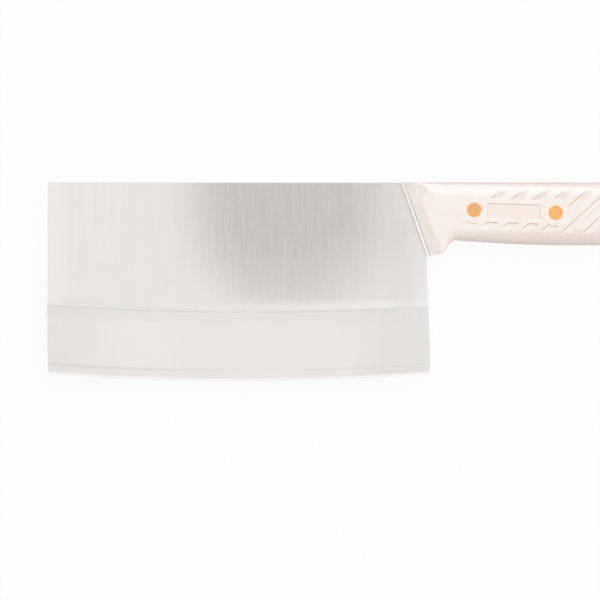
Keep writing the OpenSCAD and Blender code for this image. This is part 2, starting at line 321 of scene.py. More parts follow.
def rivet_frame(points, origin):
    """Points in a frame along the line of the rivets."""
    away = points - origin
    cosine = math.cos(RIVET_ANGLE)
    sine = math.sin(RIVET_ANGLE)
    return np.stack([away[..., 0] * cosine + away[..., 1] * sine,
                     away[..., 1] * cosine - away[..., 0] * sine], axis=-1)


def plain_distance(points):
    """Distance outside the plain ground round the rivets and between them."""
    front = np.linalg.norm(points - FRONT_RIVET, axis=1)
    rear = np.linalg.norm(points - REAR_RIVET, axis=1)
    band = np.abs(rivet_frame(points, BAND_MIDDLE)) - [RIVET_PITCH / 2, PLAIN_H]
    return np.minimum(np.minimum(front, rear) - PLAIN_R, band.max(axis=1))


def groove_width(number, y):
    """Width of a groove along X at a place under the spine."""
    more = np.interp(y, LOW_GROOVE_Y, LOW_GROOVE_MORE)
    return GROOVE_W + np.where(number < LOW_GROOVE_N, more, 0)


def groove_distance(points):
    """Distance inside the nearest groove's walls, negative outside, and less beside the far wall,
    which rises more gently."""
    rise = math.tan(math.radians(GROOVE_SLANT))
    along = points[:, 0] - HANDLE_X - GROOVE_L - (points[:, 1] + GROOVE_Y) * rise
    number = np.clip(np.floor((along - GROOVE_W / 2) / GROOVE_PITCH + 0.5), 0, GROOVE_N - 1)
    past_near = (along - number * GROOVE_PITCH) * math.cos(math.radians(GROOVE_SLANT))
    width = groove_width(number, points[:, 1])
    to_far = width * math.cos(math.radians(GROOVE_SLANT)) - past_near
    between = np.minimum(past_near, to_far * GROOVE_WALL / GROOVE_FAR_WALL)
    return np.minimum(between, plain_distance(points))


def panel_distance(points):
    """Distance inside the panel's walls, negative outside."""
    return ([PANEL_L / 2, PANEL_H / 2] - np.abs(rivet_frame(points, PANEL_MIDDLE))).min(axis=1)


def sunk(height, inside, wall, depth):
    """A height lowered to a flat floor inside some walls."""
    share = np.clip(inside / wall, 0, 1)
    floor = SCALE_T - depth * share ** 2 * (3 - 2 * share)
    return np.where(inside > 0, np.minimum(height, floor), height)


WELL_R = HEAD_D / 2 + RIVET_FIT
WELL_EDGE = 0.12
WELL_FLOOR = SCALE_T - HEAD_SINK - HEAD_T


def scale_height(points, with_panel):
    """Height of the finished scale above the tang."""
    height = face_height(points)
    past_worn = (across(points, HANDLE_AT + WORN_AT, WORN_LEAN) - WORN_FROM) / WORN_RUN
    depth = GROOVE_D * np.clip(past_worn, 0, 1)
    height = sunk(height, groove_distance(points), GROOVE_WALL, depth)
    if with_panel:
        height = sunk(height, panel_distance(points), PANEL_WALL, PANEL_D)
    for rivet in (FRONT_RIVET, REAR_RIVET):
        away = np.linalg.norm(points - rivet, axis=1)
        edge = np.clip((WELL_R + WELL_EDGE - away) / WELL_EDGE, 0, 1)
        height = np.where(away < WELL_R - RIVET_FIT / 4, WELL_FLOOR, height - edge ** 2 * WELL_EDGE / 2)
    wall = across(points, FRONT_AT, FRONT_LEAN) / math.tan(math.radians(FRONT_DRAFT))
    return np.maximum(0, soft_least(height, wall, FRONT_SOFT))


# Mesh of the scales

class Drawing:
    """Points and lines that the mesh has to follow, in the plane of the scale."""

    def __init__(self):
        self.points = []
        self.edges = []
        self.borders = set()

    def line(self, points, closed=False, border=False):
        """Adds a line; the mesh ends at a border line."""
        first = len(self.points)
        last = first + len(points) - 1
        self.points.extend(points)
        edges = [(i, i + 1) for i in range(first, last)]
        if closed:
            edges.append((last, first))
        if border:
            self.borders.update(range(len(self.edges), len(self.edges) + len(edges)))
        self.edges.extend(edges)

    def triangles(self, within):
        """Triangles between the lines, from an inner point as far as the border lines."""
        corners = [Vector((float(x), float(y))) for x, y in self.points]
        points, edges, faces, _, sources, _ = delaunay_2d_cdt(corners, self.edges, [], 0, 1e-5)
        border = {frozenset(edge) for edge, lines in zip(edges, sources)
                  if not self.borders.isdisjoint(lines)}
        points = np.array(points)
        away = np.linalg.norm(points[np.array(faces)].mean(axis=1) - within, axis=1)
        kept = faces_reached(faces, int(away.argmin()), border)
        return points, np.array([faces[number] for number in sorted(kept)])


def face_edges(face):
    return [frozenset((face[i - 1], face[i])) for i in range(3)]


def faces_reached(faces, first, border):
    """Numbers of the faces that can be reached from the first without crossing a border edge."""
    beside = {}
    for number, face in enumerate(faces):
        for edge in face_edges(face):
            beside.setdefault(edge, []).append(number)
    waiting = [first]
    kept = {first}
    while waiting:
        for edge in face_edges(faces[waiting.pop()]):
            if edge not in border:
                new = [number for number in beside[edge] if number not in kept]
                kept.update(new)
                waiting.extend(new)
    return kept


def circle(centre, radius, count=96):
    angles = np.linspace(0, math.tau, count, endpoint=False)
    return centre + radius * np.stack([np.cos(angles), np.sin(angles)], axis=1)


def handle_loop():
    """Closed outline of one scale: the rim cut off along the handle's front."""
    past = across(RIM, FRONT_AT, FRONT_LEAN)
    kept = np.flatnonzero(past > 0)
    ends = []
    for inner, outer in ((kept[0], kept[0] - 1), (kept[-1], kept[-1] + 1)):
        share = past[inner] / (past[inner] - past[outer])
        ends.append(blend(RIM[inner], RIM[outer], share))
    return np.concatenate([[ends[0]], RIM[kept], straight(ends[1], ends[0], LINE_STEP)[:-1]])


LOOP = handle_loop()
HOLE_R = TUBE_D / 2 + RIVET_FIT


def in_loop(points):
    """Whether points lie within the scale's outline and outside the rivets' holes."""
    start = LOOP
    finish = np.roll(LOOP, -1, axis=0)
    inside = []
    for some in np.array_split(points, max(1, len(points) // 3000)):
        x, y = some[:, :1], some[:, 1:]
        spans = (start[:, 1] > y) != (finish[:, 1] > y)
        rise = np.where(finish[:, 1] == start[:, 1], 1, finish[:, 1] - start[:, 1])
        crossing = start[:, 0] + (y - start[:, 1]) * (finish[:, 0] - start[:, 0]) / rise
        inside.append((spans & (x < crossing)).sum(axis=1) % 2 == 1)
    inside = np.concatenate(inside)
    for rivet in (FRONT_RIVET, REAR_RIVET):
        inside &= np.linalg.norm(points - rivet, axis=1) > HOLE_R * 0.999
    return inside


def draw_rim(drawing):
    """The outline, and one line for each step of the rounding."""
    drawing.line(LOOP, closed=True, border=True)
    normal = inward(RIM)
    last_angle, foot, _ = round_foot(RIM_WIDTH, RIM_LOWER)
    for step in range(1, ROUND_STEPS + 1):
        angle = math.pi / 2 + (last_angle - math.pi / 2) * step / ROUND_STEPS
        share = foot * (1 - (np.sin(angle) - np.sin(last_angle)) / (1 - np.sin(last_angle)))
        drawing.line(RIM + normal * (RIM_WIDTH * share)[:, None])
    reach = np.maximum(crease_reach(RIM_WIDTH, RIM_LOWER), 0.3)
    for share in (-1, -0.75, -0.5, -0.25, 0, 0.25, 0.5, 0.75, 1):
        drawing.line(RIM + normal * (RIM_WIDTH + reach * share)[:, None])


def draw_slopes(drawing):
    """The creases round the two slopes at the handle's front, and the top of the front wall."""
    reach = GUARD_H
    for lean in (RAMP_LEAN, FACET_LEAN):
        turn = math.radians(lean)
        normal = np.array([math.cos(turn), math.sin(turn)])
        along = np.array([-normal[1], normal[0]])
        for beside in (-0.5, -0.25, 0, 0.25, 0.5):
            middle = SLOPE_AT + normal * beside
            drawing.line(straight(middle - along * reach, middle + along * RAMP_AT[0], LINE_STEP))
    down = np.arange(-1, GUARD_H + 8, 0.3)
    low = np.zeros(len(down))
    high = np.full(len(down), 3.0)
    steep = 1 / math.tan(math.radians(FRONT_DRAFT))
    lean = math.radians(FRONT_LEAN)
    normal = np.array([math.cos(lean), math.sin(lean)])
    along = np.array([math.sin(lean), -math.cos(lean)])
    for _ in range(24):
        middle = (low + high) / 2
        points = FRONT_AT + np.outer(middle, normal) + np.outer(down, along)
        above = middle * steep > face_height(points)
        high = np.where(above, middle, high)
        low = np.where(above, low, middle)
    for beside in (-0.06, -0.03, 0, 0.05, 0.12, 0.3):
        drawing.line(FRONT_AT + np.outer(low + beside, normal) + np.outer(down, along))


def draw_grooves(drawing):
    """Lines beside, on and in the walls of the grooves and the plain ground between them."""
    insets = (-0.25, -0.08, 0, GROOVE_WALL * 0.2, GROOVE_WALL * 0.5, GROOVE_WALL * 0.8,
              GROOVE_WALL, GROOVE_WALL + 0.15)
    rise = math.tan(math.radians(GROOVE_SLANT))
    top_y = -ROUND_TOP_W / 3
    low_y = -FACE_LOW_Y - 2.5
    for number in range(GROOVE_N):
        for inset in insets:
            beside = inset / math.cos(math.radians(GROOVE_SLANT))
            y = np.arange(top_y, low_y, -LINE_STEP / 2)
            near = HANDLE_X + GROOVE_L + GROOVE_PITCH * number + (y + GROOVE_Y) * rise
            far = near + groove_width(number, y)
            drawing.line(np.stack([near + beside, y], axis=1))
            drawing.line(np.stack([far - beside * GROOVE_FAR_WALL / GROOVE_WALL, y], axis=1))
    for inset in insets:
        for rivet in (FRONT_RIVET, REAR_RIVET):
            drawing.line(circle(rivet, PLAIN_R + inset), closed=True)
        for side in (-1, 1):
            normal = np.array([-math.sin(RIVET_ANGLE), math.cos(RIVET_ANGLE)]) * side
            offset = normal * (PLAIN_H + inset)
            drawing.line(straight(FRONT_RIVET + offset, REAR_RIVET + offset, LINE_STEP))


def draw_panel(drawing):
    """Rectangles beside, on and in the panel's walls."""
    cosine = math.cos(RIVET_ANGLE)
    sine = math.sin(RIVET_ANGLE)
    for inset in (-0.2, -0.06, 0, PANEL_WALL * 0.25, PANEL_WALL * 0.5, PANEL_WALL * 0.75,
                  PANEL_WALL, PANEL_WALL + 0.12):
        half = np.array([PANEL_L / 2 - inset, PANEL_H / 2 - inset])
        corners = [PANEL_MIDDLE + [u * cosine - v * sine, u * sine + v * cosine]
                   for u, v in half * [[-1, -1], [1, -1], [1, 1], [-1, 1]]]
        sides = [straight(corners[i], corners[(i + 1) % 4], LINE_STEP)[:-1] for i in range(4)]
        drawing.line(np.concatenate(sides), closed=True)


def draw_wells(drawing):
    """Circles round the seats of the rivets' heads and their holes."""
    for rivet in (FRONT_RIVET, REAR_RIVET):
        for radius in (WELL_R + WELL_EDGE + 0.25, WELL_R + WELL_EDGE, WELL_R + WELL_EDGE / 2,
                       WELL_R, WELL_R - RIVET_FIT / 2, HOLE_R):
            drawing.line(circle(rivet, radius), closed=True, border=radius == HOLE_R)


def draw_fill(drawing, with_panel):
    """Loose points on the flat ground, and finer ones where the front's forms meet."""
    low = LOOP.min(axis=0)
    high = LOOP.max(axis=0)
    x, y = np.meshgrid(np.arange(low[0], high[0], FILL_STEP),
                       np.arange(low[1], high[1], FILL_STEP * math.sqrt(3) / 2))
    x[::2] += FILL_STEP / 2
    grid = np.stack([x.ravel(), y.ravel()], axis=1)
    grid = grid[in_loop(grid)]
    distance, width, lower = rim_distance(grid)
    clear = distance > width + crease_reach(width, lower) + 0.6
    clear &= across(grid, FRONT_AT, FRONT_LEAN) > 1.4
    clear &= np.abs(groove_distance(grid)) > 0.3
    if with_panel:
        clear &= np.abs(panel_distance(grid)) > 0.3
    for rivet in (FRONT_RIVET, REAR_RIVET):
        clear &= np.linalg.norm(grid - rivet, axis=1) > WELL_R + 0.6
    drawing.points.extend(grid[clear])

    x, y = np.meshgrid(np.arange(HANDLE_X, HANDLE_X + GUARD_L, FINE_STEP),
                       np.arange(low[1], high[1], FINE_STEP))
    fine = np.stack([x.ravel(), y.ravel()], axis=1)
    fine = fine[in_loop(fine) & (across(fine, FRONT_AT, FRONT_LEAN) > 1.1)]
    here = 2 * face_height(fine)
    bend = [np.abs(face_height(fine + step) + face_height(fine - step) - here)
            for step in ([FINE_STEP, 0], [0, FINE_STEP])]
    drawing.points.extend(fine[np.maximum(*bend) > 0.04])


def scale_mesh(name, with_panel, side):
    """One handle scale as a closed mesh; side is 1 for the front and -1 for the back."""
    drawing = Drawing()
    draw_rim(drawing)
    draw_slopes(drawing)
    draw_grooves(drawing)
    if with_panel:
        draw_panel(drawing)
    draw_wells(drawing)
    draw_fill(drawing, with_panel)
    points, faces = drawing.triangles(PANEL_MIDDLE)
    height = scale_height(points, with_panel)

    edges = np.concatenate([faces[:, [0, 1]], faces[:, [1, 2]], faces[:, [2, 0]]])
    either_way = {tuple(edge) for edge in edges}
    border = [edge for edge in either_way if edge[::-1] not in either_way]
    floor = Drawing()
    number = {}
    for edge in border:
        for corner in edge:
            if corner not in number:
                number[corner] = len(floor.points)
                floor.points.append(points[corner])
    floor.edges = [(number[a], number[b]) for a, b in border]
    floor.borders = set(range(len(border)))
    floor_points, floor_faces = floor.triangles(PANEL_MIDDLE)

    mesh = bmesh.new()
    base = TANG_T / 2

    def corner_at(point, above):
        x, y = to_part(*point)
        return mesh.verts.new((x, y, (HALF_T + side * (base + above)) * MM))

    surface = [corner_at(point, above) for point, above in zip(points, height)]
    under = {corner: corner_at(points[corner], 0) for corner in number}
    bottom = [corner_at(point, 0) for point in floor_points]
    for face in faces:
        mesh.faces.new([surface[i] for i in face])
    for a, b in border:
        mesh.faces.new([surface[b], surface[a], under[a], under[b]])
    for face in floor_faces:
        mesh.faces.new([bottom[i] for i in face[::-1]])
    bmesh.ops.remove_doubles(mesh, verts=mesh.verts, dist=1e-7)
    bmesh.ops.delete(mesh, geom=[v for v in mesh.verts if not v.link_faces], context="VERTS")
    bmesh.ops.recalc_face_normals(mesh, faces=mesh.faces)
    data = bpy.data.meshes.new(name)
    mesh.to_mesh(data)
    mesh.free()
    data.shade_smooth()
    data.set_sharp_from_angle(angle=math.radians(50))
    piece = bpy.data.objects.new(name, data)
    bpy.context.scene.collection.objects.link(piece)
    return piece


# Materials

class Nodes:
    """Shader nodes of one material or of the world."""

    def __init__(self, owner):
        owner.use_nodes = True
        self.tree = owner.node_tree
        self.tree.nodes.clear()

    def put(self, socket, value):
        """Sets an input to a constant or links it to another node's output."""
        if isinstance(value, bpy.types.NodeSocket):
            self.tree.links.new(value, socket)
        else:
            socket.default_value = value

    def add(self, kind, inputs=None, **settings):
        node = self.tree.nodes.new(kind)
        for name, value in settings.items():
            setattr(node, name, value)
        for name, value in (inputs or {}).items():
            self.put(node.inputs[name], value)
        return node

    def math(self, operation, first, second=0.0):
        node = self.add("ShaderNodeMath", operation=operation)
        self.put(node.inputs[0], first)
        self.put(node.inputs[1], second)
        return node.outputs[0]

    def times(self, first, *others):
        """The product of some shares."""
        for other in others:
            first = self.math("MULTIPLY", first, other)
        return first

    def less(self, value, taken):
        return self.math("SUBTRACT", value, taken)

    def size(self, value):
        return self.math("ABSOLUTE", value)

    def parts(self, vector):
        """The X, Y and Z of a vector."""
        return self.add("ShaderNodeSeparateXYZ", {"Vector": vector}).outputs

    def dot(self, first, second):
        node = self.add("ShaderNodeVectorMath", operation="DOT_PRODUCT")
        self.put(node.inputs[0], first)
        self.put(node.inputs[1], second)
        return node.outputs["Value"]

    def spread(self, value, low, high, to_low=0.0, to_high=1.0):
        """A value stretched smoothly from one range to another, and held at its ends."""
        node = self.add("ShaderNodeMapRange", {"Value": value, "From Min": low, "From Max": high,
                                               "To Min": to_low, "To Max": to_high},
                        interpolation_type="SMOOTHSTEP")
        return node.outputs["Result"]

    def band(self, value, low, high, soft):
        """1 where a value is between low and high, falling to 0 past them."""
        up = self.spread(value, low - soft, low)
        down = self.spread(value, high, high + soft, 1.0, 0.0)
        return self.times(up, down)

    def blend(self, share, first, second):
        node = self.add("ShaderNodeMix", {"Factor": share})
        self.put(node.inputs[2], first)
        self.put(node.inputs[3], second)
        return node.outputs[0]

    def mix(self, share, first, second):
        """One colour blended into another."""
        node = self.add("ShaderNodeMix", data_type="RGBA")
        self.put(node.inputs["Factor"], share)
        self.put(node.inputs[6], first)
        self.put(node.inputs[7], second)
        return node.outputs[2]

    def place(self):
        return self.add("ShaderNodeTexCoord").outputs["Object"]

    def noise(self, place, stretch, scale, detail=3.0, roughness=0.55):
        """Noise that is finer along the axes where stretch is greater."""
        mapping = self.add("ShaderNodeMapping", {"Vector": place, "Scale": stretch})
        node = self.add("ShaderNodeTexNoise", {"Vector": mapping.outputs[0], "Scale": scale,
                                               "Detail": detail, "Roughness": roughness})
        return node.outputs["Fac"]

    def distance(self, place, centre):
        """Distance in the plane of the blade from a point in the part's frame."""
        flat = self.add("ShaderNodeVectorMath", operation="MULTIPLY")
        self.put(flat.inputs[0], place)
        flat.inputs[1].default_value = (1, 1, 0)
        node = self.add("ShaderNodeVectorMath", operation="DISTANCE")
        self.put(node.inputs[0], flat.outputs[0])
        node.inputs[1].default_value = (*centre, 0)
        return node.outputs["Value"]

    def past_line(self, place, at, lean):
        """Distance past a leaning line through one place, positive towards the butt."""
        away = self.add("ShaderNodeVectorMath", operation="SUBTRACT")
        self.put(away.inputs[0], place)
        away.inputs[1].default_value = (*at, 0)
        turn = math.radians(lean)
        return self.dot(away.outputs[0], (math.cos(turn), math.sin(turn), 0))

    def bump(self, height, distance, normal=None):
        node = self.add("ShaderNodeBump", {"Height": height, "Distance": distance})
        if normal is not None:
            self.put(node.inputs["Normal"], normal)
        return node.outputs["Normal"]

    def join(self, share, first, second):
        """One shader blended into another."""
        node = self.add("ShaderNodeMixShader", {"Fac": share})
        self.put(node.inputs[1], first.outputs[0])
        self.put(node.inputs[2], second.outputs[0])
        return node.outputs[0]

    def shader(self, **inputs):
        named = {name.replace("_", " "): value for name, value in inputs.items()}
        node = self.add("ShaderNodeBsdfPrincipled", named)
        self.add("ShaderNodeOutputMaterial", {"Surface": node.outputs[0]})


def linear(red, green, blue):
    """A colour given as a screen shows it, 0 to 255, as the shader's linear colour."""
    def one(value):
        value /= 255
        return value / 12.92 if value <= 0.04045 else ((value + 0.055) / 1.055) ** 2.4
    return (one(red), one(green), one(blue), 1)


def material(name):
    new = bpy.data.materials.new(name)
    return new, Nodes(new)


# Warm darker tone of the painted shade near the tang, in the crevices and on the recessed floors
PAINTED_SHADE = linear(224, 201, 189)
# Darker tone of the painted shade on the groove walls that look down the grooves
GROOVE_SHADE = linear(198, 170, 156)
DULL_FROM_RIVET = [0.8, 0.9]


def steel_painted_highlights(nodes, x, past_grind, on_bevel):
    """Shares of the painted highlights: beside the grind line, at the front edge and at the heel."""
    rightwards = nodes.times(nodes.spread(x, -0.11, 0.0), nodes.spread(x, 0.01, 0.035, 1.0, 0.6))
    near_grind = nodes.times(nodes.spread(past_grind, -6.5 * MM, -2 * MM),
                             nodes.spread(past_grind, -0.6 * MM, -0.1 * MM, 1.0, 0.0))
    from_front = nodes.less(x, to_part(0, 0)[0])
    to_heel = nodes.less(to_part(BLADE_L, 0)[0], x)
    front_glow = nodes.times(nodes.spread(from_front, 4 * MM, 12 * MM, 1.0, 0.0),
                             nodes.blend(on_bevel, 0.45, 0.0))
    heel_glow = nodes.spread(to_heel, 1.5 * MM, 3.5 * MM, 0.4, 0.0)
    return nodes.times(near_grind, rightwards), front_glow, heel_glow


def steel_shades(nodes, x, y, past_grind, to_edge, on_bevel):
    """Shares of the painted shade in lines and bands that follow the grind and the blade's ends."""
    grind_line = nodes.times(nodes.band(past_grind, -0.1 * MM, 0.3 * MM, 0.5 * MM),
                             nodes.spread(x, 0.01, 0.035, 1.0, 0.3))
    thin_line = nodes.band(to_edge, (THIN_W - 0.5) * MM, (THIN_W + 0.2) * MM, 0.7 * MM)
    thin_share = nodes.spread(x, -0.14, -0.05, 0.34, 0.1)
    under_grind = nodes.times(nodes.band(past_grind, 0.3 * MM, 4 * MM, 4 * MM),
                              nodes.spread(x, 0.0, 0.03, 1.0, 0.0))
    ends = nodes.math("ADD", nodes.spread(x, -0.01, 0.025), nodes.spread(x, -0.155, -0.115, 0.7, 0.0))
    heel_band = nodes.times(nodes.band(x, 0.025, 0.031, 0.007), nodes.spread(y, 0.028, 0.036, 1.0, 0.0))
    return (nodes.times(grind_line, 0.3),
            nodes.times(thin_line, thin_share),
            nodes.times(under_grind, 0.12),
            nodes.times(ends, on_bevel, 0.25),
            nodes.times(heel_band, nodes.less(1.0, on_bevel), 0.17))


def steel_material():
    """Brushed flats, a satin bevel, a thinned band, a bright cutting edge and a polished step,
    with painted highlights and painted shade in lines and bands.
    """
    steel, nodes = material("blade_steel")
    place = nodes.place()
    x, y, _ = nodes.parts(place)
    grind_centre = to_part(GRIND_LOW_X, GRIND_W - BLADE_H + GRIND_R)
    edge_centre = to_part(EDGE_LOW_X, EDGE_R - BLADE_H)
    past_grind = nodes.less(nodes.distance(place, grind_centre), GRIND_R * MM)
    to_edge = nodes.less(EDGE_R * MM, nodes.distance(place, edge_centre))
    past_step = nodes.past_line(place, to_part(HANDLE_X, 0), FRONT_LEAN)
    on_bevel = nodes.spread(past_grind, -0.1 * MM, 0.1 * MM)
    on_edge = nodes.spread(to_edge, (SHARP_W - 0.1) * MM, (SHARP_W + 0.3) * MM, 1.0, 0.0)
    beside_handle = nodes.spread(y, to_part(0, -GUARD_H - 3)[1], to_part(0, -GUARD_H - 2)[1])
    on_step = nodes.times(nodes.spread(past_step, -0.05 * MM, 0.05 * MM), beside_handle)
    # Painted shadow on the flat just before the handle's step: a dark line and a wider, fainter shade
    step_shadow_line = nodes.times(nodes.band(past_step, -0.8 * MM, -0.3 * MM, 0.4 * MM), beside_handle, 0.55)
    step_shade = nodes.times(nodes.band(past_step, -1.8 * MM, -0.5 * MM, 1.6 * MM), beside_handle, 0.12)

    streak = nodes.noise(place, (1, 0.014, 1), 3000, detail=5, roughness=0.7)
    broad = nodes.noise(place, (1, 0.03, 1), 420, detail=2)
    cloud = nodes.noise(place, (1, 1, 1), 38, detail=3)
    satin = nodes.noise(place, (1, 1, 1), 5200, detail=2)

    flat_colour = nodes.mix(streak, linear(230, 226, 223), linear(234, 230, 227))
    flat_colour = nodes.mix(nodes.spread(broad, 0.35, 0.65, 0.0, 0.3), flat_colour,
                            linear(229, 225, 222))
    bevel_colour = nodes.mix(cloud, linear(231, 226, 223), linear(237, 232, 229))
    colour = nodes.mix(on_bevel, flat_colour, bevel_colour)
    # Painted highlights in a paler steel colour
    for glow in steel_painted_highlights(nodes, x, past_grind, on_bevel):
        colour = nodes.mix(glow, colour, linear(241, 237, 234))
    shades = steel_shades(nodes, x, y, past_grind, to_edge, on_bevel)
    # Painted shade in a darker steel colour
    for shade in (*shades, step_shadow_line, step_shade):
        colour = nodes.mix(shade, colour, linear(205, 199, 195))
    colour = nodes.mix(on_edge, colour, linear(246, 241, 238))
    colour = nodes.mix(on_step, colour, linear(255, 254, 252))

    flat_rough = nodes.spread(streak, 0.35, 0.65, 0.11, 0.26)
    bevel_rough = nodes.spread(cloud, 0.3, 0.7, 0.19, 0.23)
    roughness = nodes.blend(on_bevel, flat_rough, bevel_rough)
    roughness = nodes.blend(on_step, roughness, 0.06)

    brushed = nodes.bump(nodes.times(streak, nodes.less(1.0, on_bevel)), 0.0009 * MM)
    normal = nodes.bump(nodes.times(satin, on_bevel), 0.0004 * MM, brushed)
    along_x = nodes.add("ShaderNodeCombineXYZ", {"X": 1.0})
    nodes.shader(Base_Color=colour, Metallic=1.0, Roughness=roughness,
                 Anisotropic=0.6, Tangent=along_x.outputs[0], Normal=normal)
    return steel


def at_depth(nodes, above_tang, depth):
    """1 on a flat floor sunk to some depth in the face."""
    level = SCALE_T - depth
    return nodes.band(above_tang, (level - 0.02) * MM, (level + 0.02) * MM, 0.05 * MM)


def facet_painted_shade(nodes, normal, upright):
    """Share of the painted shade on the front's slope that leans towards the spine, by which way it
    faces.
    """
    turn = math.radians(FACET_LEAN)
    leaning = nodes.dot(normal, (-math.cos(turn), -math.sin(turn), 0))
    return nodes.times(nodes.spread(leaning, 0.25, 0.33), nodes.spread(upright, 0.86, 0.91), 0.35)


def groove_wall_painted_shade(nodes, place, normal, upright, above_tang):
    """1 on the steep walls of the grooves and the panel, which look down the grooves: painted shade on
    them.
    """
    slant = math.radians(GROOVE_SLANT)
    down_groove = nodes.dot(normal, (math.cos(slant), -math.sin(slant), 0))
    steep = nodes.spread(upright, 0.58, 0.84, 1.0, 0.0)
    at_face = nodes.spread(above_tang, 7.2 * MM, 7.4 * MM)
    worn = nodes.past_line(place, to_part(HANDLE_X + WORN_AT[0], WORN_AT[1]), WORN_LEAN)
    return nodes.times(nodes.spread(down_groove, 0.35, 0.6), steep, at_face,
                       nodes.spread(worn, -1 * MM, 1.2 * MM))


def painted_highlight_share(nodes, x, y, ahead, up):
    """Share of the painted highlight, a cooler white along the spine, held off the walls that look
    sideways.
    """
    sideways = nodes.spread(nodes.size(ahead), 0.05, 0.2, 1.0, 0.0)
    near_spine = nodes.spread(y, to_part(0, -14)[1], to_part(0, -9)[1])
    return nodes.times(nodes.spread(up, 0.02, 0.2, 0.0, 0.5), sideways, near_spine,
                       nodes.spread(x, 0.05, 0.13, 1.0, 0.9))


def seam_painted_shade(nodes, x, up, above_tang):
    """Share of the painted shade near the tang, most on the sides facing the spine, reaching higher
    towards the butt.
    """
    top = nodes.spread(x, 0.03, 0.13, 6.1 * MM, 7.5 * MM)
    return nodes.times(nodes.spread(above_tang, 3.1 * MM, top, 0.95, 0.0),
                       nodes.spread(up, -0.3, 0.3, 0.3, 1.0))


def plastic_material():
    """Ivory moulded plastic, fine grained, with painted shade at the seam, in the corners and
    recesses and on the front slope, and a painted highlight along the spine.
    """
    plastic, nodes = material("scale_plastic")
    place = nodes.place()
    x, y, z = nodes.parts(place)
    normal = nodes.add("ShaderNodeNewGeometry").outputs["Normal"]
    ahead, up, outwards = nodes.parts(normal)
    upright = nodes.size(outwards)
    above_tang = nodes.less(nodes.size(nodes.less(z, HALF_T * MM)), TANG_T / 2 * MM)
    cloud = nodes.noise(place, (1, 1, 1), 45, detail=3)
    grain = nodes.noise(place, (1, 1, 1), 4200, detail=2)
    rub = nodes.noise(place, (1, 1.6, 1), 260, detail=4, roughness=0.65)
    # Painted shade in the crevices, from ambient occlusion, most on the walls that face away from the
    # spine
    corners = nodes.add("ShaderNodeAmbientOcclusion", {"Distance": 0.8 * MM}, samples=8)
    crevice_painted_shade = nodes.times(nodes.spread(corners.outputs["AO"], 0.5, 0.95, 1.0, 0.0),
                          nodes.spread(up, -0.55, 0.0, 1.0, 0.1))
    # Painted shade on the groove floors near the spine and on the panel's floor
    level = nodes.spread(upright, 0.985, 0.998)
    near_spine = nodes.spread(y, to_part(0, -10.5)[1], to_part(0, -8.5)[1])
    groove_floor_painted_shade = nodes.times(at_depth(nodes, above_tang, GROOVE_D), level, near_spine, 0.32)
    panel_floor_painted_shade = nodes.times(at_depth(nodes, above_tang, PANEL_D), level, 0.15)

    colour = nodes.mix(cloud, linear(247, 239, 232), linear(250, 244, 239))
    colour = nodes.mix(nodes.spread(rub, 0.5, 0.75, 0.0, 0.4), colour, linear(242, 233, 226))
    # Painted shade on the front's slope that leans towards the spine
    colour = nodes.mix(facet_painted_shade(nodes, normal, upright), colour, linear(235, 224, 216))
    # Painted highlight along the spine's rounding, in a cooler near-white
    painted_highlight_colour = nodes.mix(nodes.spread(up, 0.35, 0.5), linear(247, 251, 252), linear(244, 246, 247))
    colour = nodes.mix(painted_highlight_share(nodes, x, y, ahead, up), colour, painted_highlight_colour)
    # Painted shade near the tang, in the crevices and on the recessed floors
    for share in (seam_painted_shade(nodes, x, up, above_tang), crevice_painted_shade, groove_floor_painted_shade, panel_floor_painted_shade):
        colour = nodes.mix(share, colour, PAINTED_SHADE)
    # Painted shade on the steep walls of the grooves
    colour = nodes.mix(groove_wall_painted_shade(nodes, place, normal, upright, above_tang), colour, GROOVE_SHADE)

    roughness = nodes.spread(rub, 0.25, 0.75, 0.34, 0.46)
    fine = nodes.bump(grain, 0.004 * MM)
    moulded = nodes.bump(rub, 0.01 * MM, fine)
    nodes.shader(Base_Color=colour, Roughness=roughness, IOR=1.49, Normal=moulded)
    return plastic


def rivet_material():
    """Red brass, ground flush with the scales and left with fine scratches."""
    brass, nodes = material("rivet_brass")
    place = nodes.place()
    scratch = nodes.noise(place, (0.06, 1, 1), 5200, detail=4, roughness=0.65)
    cloud = nodes.noise(place, (1, 1, 1), 420, detail=3)
    from_dull = nodes.distance(place, to_part(*(FRONT_RIVET + DULL_FROM_RIVET)))
    dull = nodes.spread(from_dull, 0.3 * MM, 4.6 * MM, 0.85, 0.05)
    colour = nodes.mix(scratch, linear(225, 166, 99), linear(242, 185, 112))
    colour = nodes.mix(nodes.spread(cloud, 0.4, 0.7, 0.0, 0.4), colour, linear(217, 158, 97))
    colour = nodes.mix(dull, colour, linear(216, 164, 120))
    roughness = nodes.spread(scratch, 0.3, 0.7, 0.3, 0.42)
    normal = nodes.bump(scratch, 0.002 * MM)
    nodes.shader(Base_Color=colour, Metallic=1.0, Roughness=roughness, Normal=normal)
    return brass


# The knife

HEAD_EDGE_W = 0.12

STEEL = steel_material()
PLASTIC = plastic_material()
BRASS = rivet_material()


def paint(piece, finish):
    piece.data.materials.clear()
    piece.data.materials.append(finish)


def ease_edges(piece, width):
    """Breaks the sharp edges of a turned piece."""
    bevel = piece.modifiers.new("eased_edges", "BEVEL")
    bevel.width = width * MM
    bevel.segments = 3
    bevel.limit_method = "ANGLE"
    bevel.angle_limit = math.radians(50)


paint(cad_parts["blade"], STEEL)
for rivet_name in ("front_rivet_pin", "front_rivet_socket", "rear_rivet_pin", "rear_rivet_socket"):
    paint(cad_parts[rivet_name], BRASS)
    ease_edges(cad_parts[rivet_name], HEAD_EDGE_W)

for scale_name, with_panel, side in (("front_scale", True, 1), ("back_scale", False, -1)):
    scale = scale_mesh(scale_name + "_moulding", with_panel, side)
    paint(scale, PLASTIC)
    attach(scale, "root")
    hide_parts(scale_name)


# The studio

